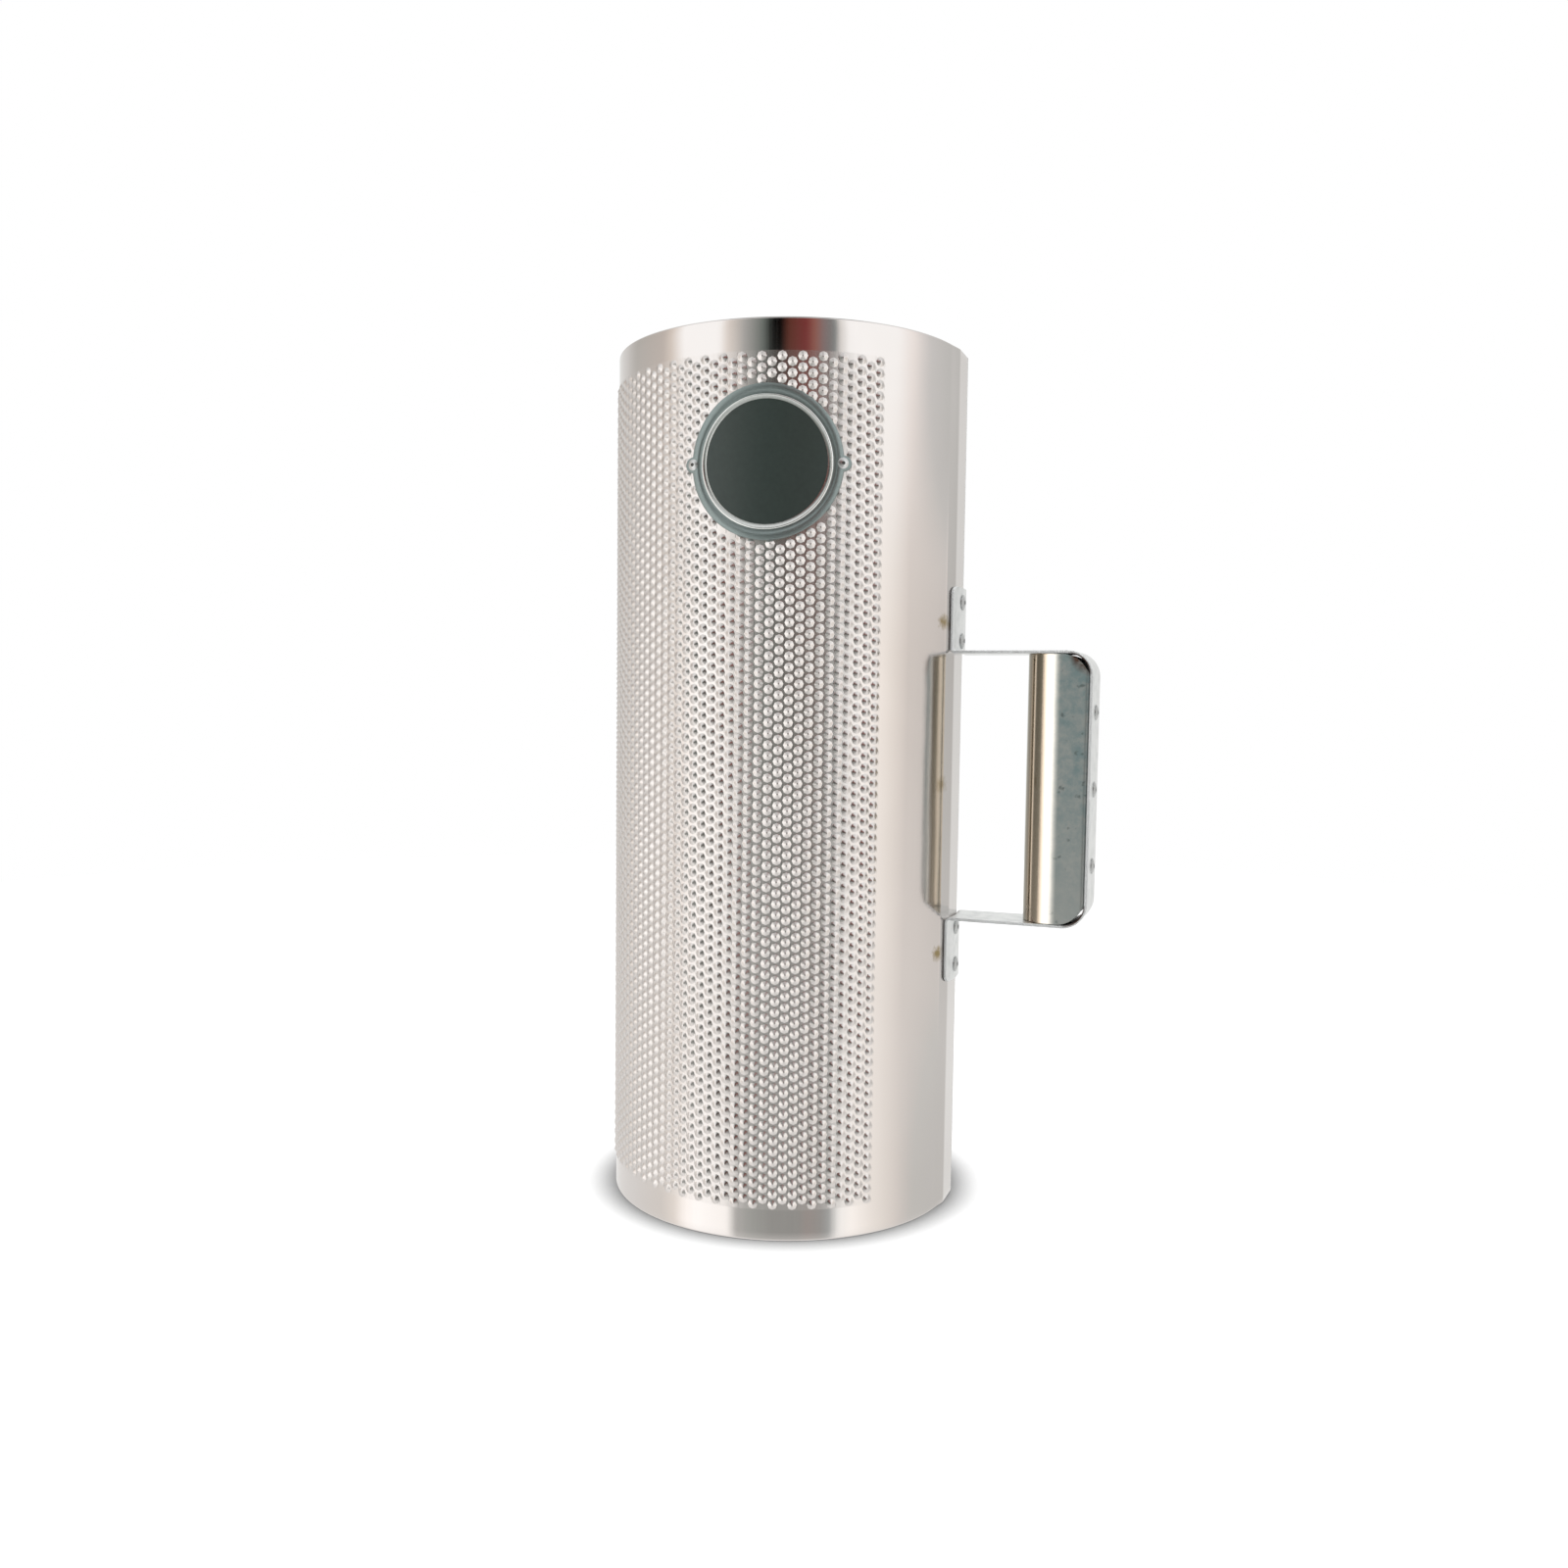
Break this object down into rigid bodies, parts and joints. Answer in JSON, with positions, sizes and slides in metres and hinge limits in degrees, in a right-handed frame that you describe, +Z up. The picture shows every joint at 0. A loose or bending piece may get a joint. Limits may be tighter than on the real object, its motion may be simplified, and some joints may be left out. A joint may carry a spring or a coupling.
{
  "type": "metal guiro",
  "caption": "Open sheet-metal tube guiro scraped on a bumped side, with hemmed rims, a riveted strap handle, a D-shaped grip sleeve and a round curved badge.",
  "frame": {"origin": "on the tube's axis, at the plane of the lower rim that it stands on", "axes": "+Z up along the tube's axis, +X from the axis through the middle of the handle"},
  "size_m": [0.2041, 0.1482, 0.349],
  "materials": {
    "body_steel": "bright rolled stainless sheet with a faint grain",
    "handle_steel": "polished steel strap",
    "sleeve_steel": "plated sheet, mirror bright with faint blotches",
    "badge_metal": "stamped plate, dull grey bezel with a bright raised ring",
    "badge_field": "dark enamel fill",
    "rivet_metal": "bare aluminium blind rivet",
    "mandrel_steel": "snapped dark steel stem"
  },
  "bodies": {
    "root": {"body_shell": "body_steel", "handle_strap": "handle_steel", "grip_sleeve": "sleeve_steel", "badge_plate": "badge_metal", "badge_enamel": "badge_field", "tab_rivet_1": "rivet_metal", "tab_rivet_2": "rivet_metal", "tab_rivet_3": "rivet_metal", "tab_rivet_4": "rivet_metal", "tab_mandrel_1": "mandrel_steel", "tab_mandrel_2": "mandrel_steel", "tab_mandrel_3": "mandrel_steel", "tab_mandrel_4": "mandrel_steel", "grip_rivet_1": "rivet_metal", "grip_rivet_2": "rivet_metal", "grip_rivet_3": "rivet_metal", "grip_mandrel_1": "mandrel_steel", "grip_mandrel_2": "mandrel_steel", "grip_mandrel_3": "mandrel_steel", "badge_rivet_1": "rivet_metal", "badge_rivet_2": "rivet_metal", "badge_mandrel_1": "mandrel_steel", "badge_mandrel_2": "mandrel_steel"}
  },
  "joints": []
}
